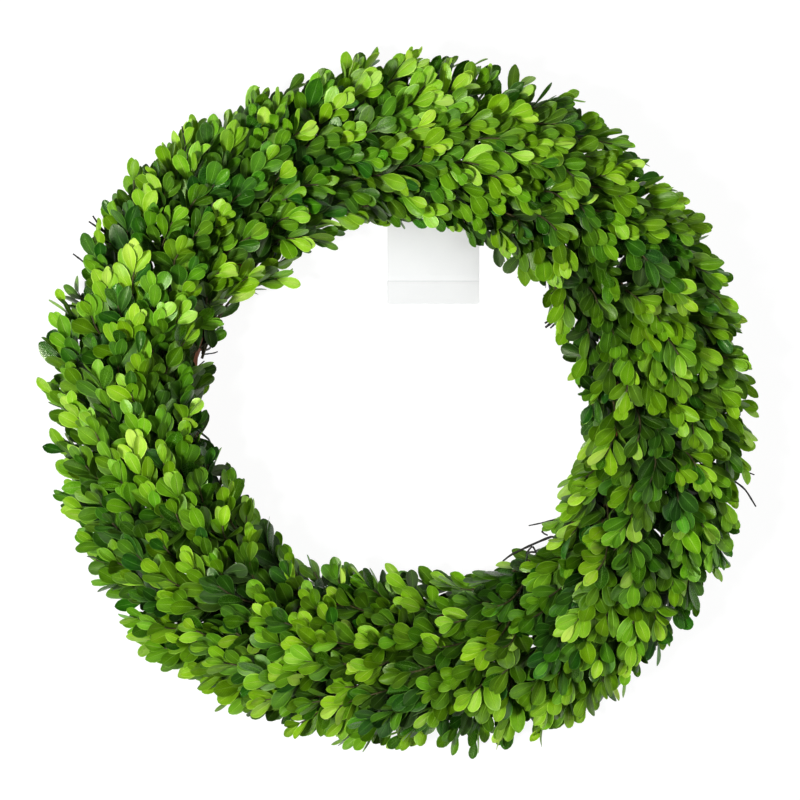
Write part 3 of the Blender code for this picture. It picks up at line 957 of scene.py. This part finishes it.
# Bare twigs that show against the floor in the photo, each from its base to its tip: half
# thickness in millimetres, then points as angle in degrees, radius and height in millimetres
BARE_TWIGS = (
    (0.75, (150.2, 236, 40), (149.4, 245, 42), (148.5, 253, 44)),
    (0.75, (149.9, 236, 38), (149.6, 254, 40)),
    (0.70, (151.0, 230, 40), (151.1, 243, 42)),
    (0.70, (156.4, 238, 34), (155.7, 246, 36), (155.3, 254, 36)),
    (0.60, (130.0, 234, 46), (128.2, 247, 50)),
    (0.60, (160.4, 146, 20), (159.8, 135, 20)),
    (0.55, (165.8, 146, 19), (164.5, 138, 17), (163.8, 136, 17)),
    (1.10, (29.2, 133, 25), (28.8, 124, 24), (28.2, 116, 22)),
    (0.95, (29.6, 132, 25), (29.6, 117, 23)),
    (0.80, (28.8, 131, 24), (27.2, 119, 21)),
    (0.70, (36.0, 135, 27), (37.6, 127, 24)),
    (0.45, (47.6, 134, 27), (45.3, 123, 24)),
    (0.45, (49.0, 133, 27), (47.5, 122, 24)),
    (0.85, (-40.0, 143, 25), (-45.3, 137, 24), (-54.1, 131.5, 22), (-57.0, 132.5, 20)),
    (0.65, (-47.0, 136.5, 23), (-51.7, 138.5, 20)),
    (0.75, (-36.0, 137, 27), (-39.0, 134, 26), (-42.4, 133.5, 24), (-41.7, 139, 22)),
    (0.60, (-36.0, 137, 26), (-40.5, 129, 28), (-43.5, 124, 28)),
    (0.70, (-25.0, 138, 28), (-29.5, 133, 28), (-33.5, 135, 26)),
    (0.60, (-10.2, 232, 30), (-11.2, 254, 30)),
    (0.70, (-12.5, 238, 28), (-13.7, 250, 28), (-16.0, 261, 26)),
)
TWIG_STEPS = 13
TWIG_BASE = 1.15
TWIG_TIP = 0.80
TWIG_KNOT = 1.22
TWIG_KNOT_STEPS = 3


def place_bare_twigs(sprigs):
    """Branch each bare twig off the stem that is nearest to where it comes into view."""
    stems = [(sprig, point) for sprig in sprigs for point in sprig.points[:-2]]
    places = np.array([point for sprig, point in stems])
    for thickness, *course in BARE_TWIGS:
        corners = [ring_point(math.radians(angle), radius / 1000, height / 1000)
                   for angle, radius, height in course]
        nearest = int(np.argmin(np.linalg.norm(places - corners[0], axis=1)))
        sprig, fork = stems[nearest]
        corners = np.array([fork] + corners)
        walk = distances(corners)
        centres = on_course(corners, walk, np.linspace(0.0, walk[-1], TWIG_STEPS))
        centres[1:-1] = (centres[:-2] + 2 * centres[1:-1] + centres[2:]) / 4
        radii = np.linspace(TWIG_BASE * thickness, TWIG_TIP * thickness, TWIG_STEPS) / 1000
        radii[1:-1:TWIG_KNOT_STEPS] *= TWIG_KNOT
        sprig.bunch.bare_twigs.append((centres, radii))


def vine_piece(index, materials, rng):
    """A strand with ridges along its grain and knots, flat where it rests."""
    phase = math.tau * index / VINE_COUNT
    angles = np.arange(VINE_STEPS) * math.tau / VINE_STEPS
    turns = np.arange(VINE_SIDES) * math.tau / VINE_SIDES
    grain = rng.uniform(0.0, math.tau, BARK_PHASES)
    knots = [(rng.uniform(0.0, math.tau), rng.uniform(0.0, math.tau)) for knot in range(VINE_KNOTS)]
    points = np.zeros((VINE_STEPS, VINE_SIDES, 3))
    for step, angle in enumerate(angles):
        centre = vine_section_point(angle, VINE_TWISTS * angle + phase, VINE_SPREAD)
        reach = VINE_RADIUS * (1.0 - VINE_THINNING * math.sin(2.0 * angle + phase) ** 2) - BARK_INSET
        twisted = turns + BARK_TWIST * math.sin(angle + grain[0])
        for start, (count, height, times, waver) in zip(grain[1:], BARK_RIDGES):
            wave = np.sin(count * twisted + start + waver * math.sin(times * angle))
            reach = reach + wave * BARK_RIDGE * height
        lumps = [math.sin(times * angle + start) for start, times in zip(grain[3:], LUMP_WAVES)]
        reach = reach + lumps[0] * lumps[1] * BARK_LUMP
        for knot_angle, knot_turn in knots:
            apart = (angle - knot_angle + math.pi) % math.tau - math.pi
            aside = (turns - knot_turn + math.pi) % math.tau - math.pi
            reach = reach + KNOT_HEIGHT * np.exp(-(apart / KNOT_LENGTH) ** 2 - (aside / KNOT_TURN) ** 2)
        outward = ring_point(angle, 1.0, 0.0)
        offset = outward * np.cos(turns)[:, None] + UP * np.sin(turns)[:, None]
        points[step] = centre + offset * reach[:, None]
    points[..., 2] = np.maximum(points[..., 2], 0.0)
    mesh = Mesh()
    tone = (rng.uniform(*BARK_TONES), MIDDLE_TONE, MIDDLE_TONE)
    around = np.abs(turns / math.pi - 1.0)
    along = np.sin(angles * 0.5) * VINE_PLACES
    add_rings(mesh, points, ring_faces(VINE_STEPS, VINE_SIDES, closed=True), 0, around, along, tone)
    return mesh.finish(f"bark_strand_{index + 1}", materials)


def wire_reach(turn):
    """The wire's distance from the middle of the vines: wide over the stems, flat below."""
    lift = max(0.0, math.sin(turn))
    reach = WIRE_BESIDE_VINES + (WIRE_OVER_STEMS - WIRE_BESIDE_VINES) * min(1.0, WIRE_SHOULDER * lift)
    drop = VINE_HEIGHT - WIRE_RADIUS - WIRE_CLEAR_OF_FLOOR
    if math.sin(turn) < 0.0:
        reach = min(reach, drop / -math.sin(turn))
    return reach


def wire_piece(materials):
    """The binding wire as one round closed spiral."""
    centres = []
    for station in range(STATIONS):
        for step in range(WIRE_STEPS):
            share = step / WIRE_STEPS
            turn = math.tau * (share - 0.25)
            centres.append(vine_section_point(wire_angle(station, share), turn, wire_reach(turn)))
    centres = np.array(centres)
    count = len(centres)
    heading = units(np.roll(centres, -1, axis=0) - np.roll(centres, 1, axis=0))
    angles = np.arctan2(centres[:, 1], centres[:, 0])
    middles = np.array([ring_point(angle, VINE_RING, VINE_HEIGHT) for angle in angles])
    points = rings(centres, heading, units(centres - middles), np.full(count, WIRE_RADIUS), WIRE_SIDES)
    around = np.arange(WIRE_SIDES) / WIRE_SIDES
    along = np.arange(count) / WIRE_PLACE_STEPS
    mesh = Mesh()
    add_rings(mesh, points, ring_faces(count, WIRE_SIDES, closed=True), 0, around, along, (MIDDLE_TONE,) * 3)
    return mesh.finish("wire_spiral", materials)


def tag_piece(materials):
    """A blank card with rounded lower corners, lifted and slightly warped below its fold."""
    upper = np.linspace(TAG_TOP, TAG_FOLD + CREASE_STEP, TAG_LINES // 2)
    lower = np.linspace(TAG_FOLD - CREASE_STEP, TAG_BOTTOM, TAG_LINES // 2)
    lines = np.concatenate((upper, (TAG_FOLD,), lower))
    across, y = np.meshgrid(np.arange(TAG_COLUMNS + 1) / TAG_COLUMNS, lines)
    into_corner = np.maximum(0.0, TAG_BOTTOM + TAG_CORNER - y)
    inset = TAG_CORNER - np.sqrt(np.maximum(0.0, TAG_CORNER ** 2 - into_corner ** 2))
    x = TAG_LEFT + inset + (TAG_RIGHT - TAG_LEFT - 2 * inset) * across
    below = np.maximum(0.0, (TAG_FOLD - y) / (TAG_FOLD - TAG_BOTTOM))
    under = TAG_REST + TAG_LIFT * below ** TAG_CURVE + TAG_WARP * np.sin(across * math.pi) * below
    over = under + TAG_THICKNESS - np.where(y == TAG_FOLD, CREASE_DEPTH, 0.0)
    points = np.vstack([np.stack((x, y, height), axis=-1).reshape(-1, 3) for height in (over, under)])
    size = y.size
    sheet = np.arange(size).reshape(y.shape)
    faces = []
    for near, far in zip(sheet.tolist(), sheet[1:].tolist()):
        for column in range(TAG_COLUMNS):
            corners = (near[column], far[column], far[column + 1], near[column + 1])
            faces.append(corners)
            faces.append(tuple(size + corner for corner in corners[::-1]))
    border = [*sheet[0], *sheet[1:, -1], *sheet[-1, -2::-1], *sheet[-2:0:-1, 0]]
    border = [int(spot) for spot in border]
    for near, far in zip(border, border[1:] + border[:1]):
        faces.append((near, far, far + size, near + size))
    mesh = Mesh()
    rim = np.zeros(len(points), bool)
    rim[border] = True
    rim[size:] = rim[:size]
    places = np.tile(np.stack((points[:size, 0], points[:size, 1]), axis=1), (2, 1)) / TAG_PLACE
    mesh.add(points, faces, 0, places, np.full((len(points), 3), MIDDLE_TONE), rim)
    return mesh.finish("blank_card", materials)


class Nodes:
    """Short ways to add and join the nodes of one material."""

    def __init__(self, name):
        self.material = bpy.data.materials.new(name)
        self.material.use_nodes = True
        self.tree = self.material.node_tree
        self.shader = self.tree.nodes["Principled BSDF"]

    def link(self, value, socket):
        if isinstance(value, bpy.types.NodeSocket):
            self.tree.links.new(value, socket)
        else:
            socket.default_value = value

    def new(self, kind):
        return self.tree.nodes.new("ShaderNode" + kind)

    def math(self, operation, first, second=0.0, third=0.0):
        node = self.new("Math")
        node.operation = operation
        for value, socket in zip((first, second, third), node.inputs):
            self.link(value, socket)
        return node.outputs[0]

    def times(self, value, gain, plus=0.0):
        return self.math("MULTIPLY_ADD", value, gain, plus)

    def between(self, value, low, high, to_low=0.0, to_high=1.0):
        """A value eased from one range to another, and held at the ends."""
        node = self.new("MapRange")
        node.interpolation_type = "SMOOTHSTEP"
        for entry, socket in zip((value, low, high, to_low, to_high), node.inputs):
            self.link(entry, socket)
        return node.outputs[0]

    def noise(self, place, scale, detail=3.0, roughness=0.55):
        node = self.new("TexNoise")
        self.link(place, node.inputs["Vector"])
        node.inputs["Scale"].default_value = scale
        node.inputs["Detail"].default_value = detail
        node.inputs["Roughness"].default_value = roughness
        return node.outputs["Fac"]

    def ramp(self, value, stops):
        node = self.new("ValToRGB")
        points = node.color_ramp.elements
        while len(points) < len(stops):
            points.new(0.5)
        for point, (place, colour) in zip(points, stops):
            point.position = place
            point.color = (*colour, 1.0)
        self.link(value, node.inputs["Fac"])
        return node.outputs["Color"]

    def blend(self, share, first, second):
        node = self.new("Mix")
        node.data_type = "RGBA"
        self.link(share, node.inputs["Factor"])
        self.link(first, node.inputs["A"])
        self.link(second, node.inputs["B"])
        return node.outputs["Result"]

    def split(self, value, kind):
        node = self.new(kind)
        self.link(value, node.inputs[0])
        return node.outputs[0], node.outputs[1], node.outputs[2]

    def surface(self):
        """Where a point lies on its surface: across or around, and along."""
        node = self.new("UVMap")
        node.uv_map = "surface"
        return self.split(node.outputs["UV"], "SeparateXYZ")[:2]

    def tone(self):
        """The tone, hue and gloss that the mesh gives each point."""
        node = self.new("Attribute")
        node.attribute_name = "tone"
        return self.split(node.outputs["Color"], "SeparateColor")

    def place(self):
        return self.new("TexCoord").outputs["Object"]

    def set(self, **values):
        """Give the shader's inputs fixed values, or link them to nodes."""
        for name, value in values.items():
            self.link(value, self.shader.inputs[name.replace("_", " ")])

    def bump(self, height, strength, distance):
        node = self.new("Bump")
        node.inputs["Strength"].default_value = strength
        node.inputs["Distance"].default_value = distance
        self.link(height, node.inputs["Height"])
        self.set(Normal=node.outputs["Normal"])


# Leaf colours, from shade to pale lime: yellow green, and blue green
YELLOW_GREENS = (
    (0.00, (0.006, 0.024, 0.0002)),
    (0.25, (0.036, 0.098, 0.0004)),
    (0.45, (0.096, 0.222, 0.0012)),
    (0.65, (0.196, 0.418, 0.0040)),
    (0.82, (0.318, 0.590, 0.0120)),
    (1.00, (0.530, 0.765, 0.0850)),
)
BLUE_GREENS = (
    (0.00, (0.003, 0.020, 0.002)),
    (0.25, (0.012, 0.078, 0.005)),
    (0.45, (0.036, 0.192, 0.006)),
    (0.65, (0.094, 0.375, 0.010)),
    (0.82, (0.200, 0.540, 0.042)),
    (1.00, (0.385, 0.710, 0.140)),
)


def leaf_material():
    """Leaves with a pale midrib, faint veins and a gloss of their own, a painted highlight along the rim and
    midrib, and painted shade towards the base and the edges.
    """
    nodes = Nodes("boxwood_leaf")
    u, v = nodes.surface()
    tone, hue, gloss = nodes.tone()
    place = nodes.place()
    across = nodes.math("ABSOLUTE", nodes.times(u, 2.0, -1.0))
    midrib_width = nodes.between(v, 0.0, 1.0, *MIDRIB_WIDTHS)
    midrib = nodes.between(across, MIDRIB_CORE, midrib_width, 1.0, 0.0)
    rim = nodes.between(across, *RIM_HIGHLIGHT_BAND)
    vein_wave = nodes.math("SINE", nodes.times(nodes.times(across, VEIN_SLANT, v), VEIN_WAVES))
    crests = nodes.between(vein_wave, VEIN_CREST, 1.0)
    veins = nodes.math("MULTIPLY", crests, nodes.between(across, *VEIN_FADE))
    patches = nodes.noise(place, PATCH_SCALE, detail=2.0)
    grain = nodes.noise(place, GRAIN_SCALE, roughness=0.6)
    # The level on the colour ramps, from the leaf's own tone and what lightens or darkens it: random patches
    # and speckle, painted shade towards the base and the edges, and a painted highlight on the rim
    patch_tone = nodes.times(patches, 0.22, -0.11)
    speckle = nodes.times(grain, 0.16, -0.08)
    # Painted shade: darker towards the leaf's base and towards its edges, lighter along the middle
    painted_leaf_shade = nodes.between(v, 0.0, 0.60, -0.12, 0.02)
    painted_edge_shade = nodes.between(across, 0.15, 0.85, 0.03, -0.05)
    painted_leaf_shade = nodes.math("ADD", painted_leaf_shade, painted_edge_shade)
    level = nodes.math("ADD", nodes.math("ADD", tone, patch_tone), nodes.math("ADD", speckle, painted_leaf_shade))
    # The midrib and veins are paler in their own colour; the rim's lightening is a painted highlight
    for part, gain in ((midrib, 0.18), (veins, 0.05), (rim, 0.24)):
        level = nodes.times(part, gain, level)
    colour = nodes.blend(hue, nodes.ramp(level, YELLOW_GREENS), nodes.ramp(level, BLUE_GREENS))
    # Painted highlight: the rim and midrib are mixed a little towards a whitish green
    painted_highlight = nodes.times(midrib, 0.04, nodes.times(rim, 0.03))
    colour = nodes.blend(painted_highlight, colour, PAINTED_HIGHLIGHT_GREEN)
    roughness = nodes.times(gloss, -0.20, 0.46)
    roughness = nodes.times(grain, 0.12, roughness)
    roughness = nodes.times(hue, -0.10, roughness)
    nodes.set(Base_Color=colour, Roughness=roughness)
    nodes.set(Specular_IOR_Level=0.50, Specular_Tint=SHEEN_GREEN)
    height = nodes.times(midrib, 1.0, nodes.times(veins, 0.35))
    height = nodes.times(grain, 0.45, height)
    nodes.bump(height, strength=0.8, distance=0.0005)
    return nodes.material


def twig_material():
    """Young bark for live sprigs, and a near black for bare twigs."""
    nodes = Nodes("boxwood_twig")
    streaks = nodes.noise(nodes.place(), 420.0)
    bark = nodes.ramp(streaks, (
        (0.30, (0.014, 0.013, 0.003)),
        (0.55, (0.056, 0.046, 0.011)),
        (0.75, (0.130, 0.102, 0.030)),
    ))
    live = nodes.tone()[0]
    nodes.set(Base_Color=nodes.blend(live, DEAD_TWIG, bark), Roughness=0.72)
    nodes.bump(streaks, strength=0.6, distance=0.0004)
    return nodes.material


def bark_material():
    """Reddish brown vine bark, with fibres that run along the strand."""
    nodes = Nodes("vine_bark_fine")
    place = nodes.place()
    u, v = nodes.surface()
    stretched = nodes.new("CombineXYZ")
    nodes.link(nodes.times(u, 9.0), stretched.inputs[0])
    nodes.link(v, stretched.inputs[1])
    fibres = nodes.noise(stretched.outputs[0], 3.2, detail=5.0, roughness=0.65)
    flecks = nodes.noise(place, 240.0, detail=4.0, roughness=0.6)
    mixed = nodes.times(fibres, 0.6, nodes.times(flecks, 0.4))
    colour = nodes.ramp(mixed, (
        (0.30, (0.026, 0.007, 0.003)),
        (0.45, (0.138, 0.036, 0.012)),
        (0.58, (0.300, 0.090, 0.026)),
        (0.75, (0.520, 0.235, 0.095)),
    ))
    nodes.set(Base_Color=colour, Roughness=nodes.times(mixed, 0.25, 0.60))
    nodes.bump(mixed, strength=0.9, distance=0.0009)
    return nodes.material


def wire_material():
    """Dark green enamel, worn to brown in spots."""
    nodes = Nodes("wire_enamel")
    wear = nodes.noise(nodes.place(), 500.0)
    colour = nodes.ramp(wear, (
        (0.35, (0.012, 0.030, 0.012)),
        (0.60, (0.024, 0.052, 0.020)),
        (0.72, (0.090, 0.080, 0.060)),
    ))
    roughness = nodes.times(wear, 0.3, 0.25)
    nodes.set(Base_Color=colour, Roughness=roughness, Metallic=0.2)
    nodes.bump(wear, strength=0.3, distance=0.0002)
    return nodes.material


def paper_material():
    """Plain white card, darker at its fold and at its two side edges."""
    nodes = Nodes("tag_card")
    place = nodes.place()
    fibres = nodes.noise(place, 1600.0, detail=4.0, roughness=0.7)
    cloud = nodes.noise(place, 60.0, detail=2.0)
    mixed = nodes.times(fibres, 0.5, nodes.times(cloud, 0.5))
    colour = nodes.ramp(mixed, ((0.30, (0.765, 0.770, 0.777)), (0.70, (0.795, 0.800, 0.802))))
    u, v = nodes.surface()
    middle = (TAG_LEFT + TAG_RIGHT) / 2 / TAG_PLACE
    half_width = (TAG_RIGHT - TAG_LEFT) / 2
    crease_half = CREASE_HALF / TAG_PLACE
    from_fold = nodes.math("ABSOLUTE", nodes.math("SUBTRACT", v, TAG_FOLD / TAG_PLACE))
    from_middle = nodes.math("ABSOLUTE", nodes.math("SUBTRACT", u, middle))
    crease = nodes.between(from_fold, crease_half, 2.2 * crease_half, 0.22, 0.0)
    edge_starts = (half_width - TAG_EDGE) / TAG_PLACE
    edge = nodes.between(from_middle, edge_starts, half_width / TAG_PLACE, 0.0, 0.07)
    colour = nodes.blend(nodes.math("ADD", crease, edge), colour, CARD_SHADOW)
    nodes.set(Base_Color=colour, Roughness=0.55)
    nodes.bump(fibres, strength=0.25, distance=0.0002)
    return nodes.material


def place_camera():
    """Straight down, so that the ring fills the frame as it does in the photo."""
    data = bpy.data.cameras.new("camera")
    data.sensor_width = SENSOR
    data.lens = SENSOR * CAMERA_DISTANCE / VIEW_WIDTH
    data.clip_start = 0.05
    data.clip_end = 20.0
    camera = add_object("camera", data)
    camera.location = (*VIEW_MIDDLE, CAMERA_PLANE + CAMERA_DISTANCE)
    bpy.context.scene.camera = camera


def add_lamp(name, place, size, power):
    data = bpy.data.lights.new(name, "AREA")
    data.shape = "DISK"
    data.size = size
    data.energy = power
    lamp = add_object(name, data)
    lamp.location = place
    lamp.rotation_euler = (LAMPS_AIM - Vector(place)).to_track_quat("-Z", "Y").to_euler()


def light_scene():
    """One soft key from the left, a weaker and broader fill opposite, and an even pale sky."""
    add_lamp("key", *KEY_LAMP)
    add_lamp("fill", *FILL_LAMP)
    world = bpy.data.worlds.new("studio")
    world.use_nodes = True
    background = world.node_tree.nodes["Background"]
    background.inputs["Color"].default_value = (1.0, 1.0, 1.0, 1.0)
    background.inputs["Strength"].default_value = WORLD_STRENGTH
    bpy.context.scene.world = world
    bpy.context.scene.view_settings.view_transform = "Standard"


def add_floor():
    """A plain pale floor that glows enough to hide most of its shadows."""
    half = FLOOR_SIZE / 2
    data = bpy.data.meshes.new("floor")
    corners = [(-half, -half, 0.0), (half, -half, 0.0), (half, half, 0.0), (-half, half, 0.0)]
    data.from_pydata(corners, [], [(0, 1, 2, 3)])
    nodes = Nodes("floor_paper")
    soft = nodes.noise(nodes.place(), 3.0, detail=2.0)
    colour = nodes.ramp(soft, ((0.3, (0.12, 0.12, 0.121)), (0.7, (0.13, 0.13, 0.131))))
    nodes.set(Base_Color=colour, Roughness=0.9)
    nodes.set(Emission_Color=(1.0, 1.0, 1.0, 1.0), Emission_Strength=FLOOR_GLOW)
    data.materials.append(nodes.material)
    floor = add_object("floor", data)
    floor.location = (0.0, 0.0, -FLOOR_DROP)


def join_frame(piece, node):
    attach(piece, "root")
    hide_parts(node)


def main():
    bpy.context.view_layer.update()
    rng = random.Random(SEED)
    draws = np.random.default_rng(SEED)
    bunches = lay_out_bunches(rng)
    sprigs = grow_sprigs(bunches, rng)
    crowd = Crowd()
    grow_leaves(sprigs, crowd, draws)
    cover = Cover()
    for bunch in bunches:
        if bunch.leaves:
            cover.add(np.array(bunch.leaves))
    fill_gaps(sprigs, crowd, cover, draws)
    place_bare_twigs(sprigs)
    foliage = (leaf_material(), twig_material())
    for bunch in bunches:
        join_frame(foliage_piece(bunch, foliage), bunch.name)
    bark = bark_material()
    for index in range(VINE_COUNT):
        join_frame(vine_piece(index, (bark,), draws), f"vine_strand_{index + 1}")
    join_frame(wire_piece((wire_material(),)), "binding_wire")
    join_frame(tag_piece((paper_material(),)), "hang_tag")
    add_floor()
    light_scene()
    place_camera()


main()
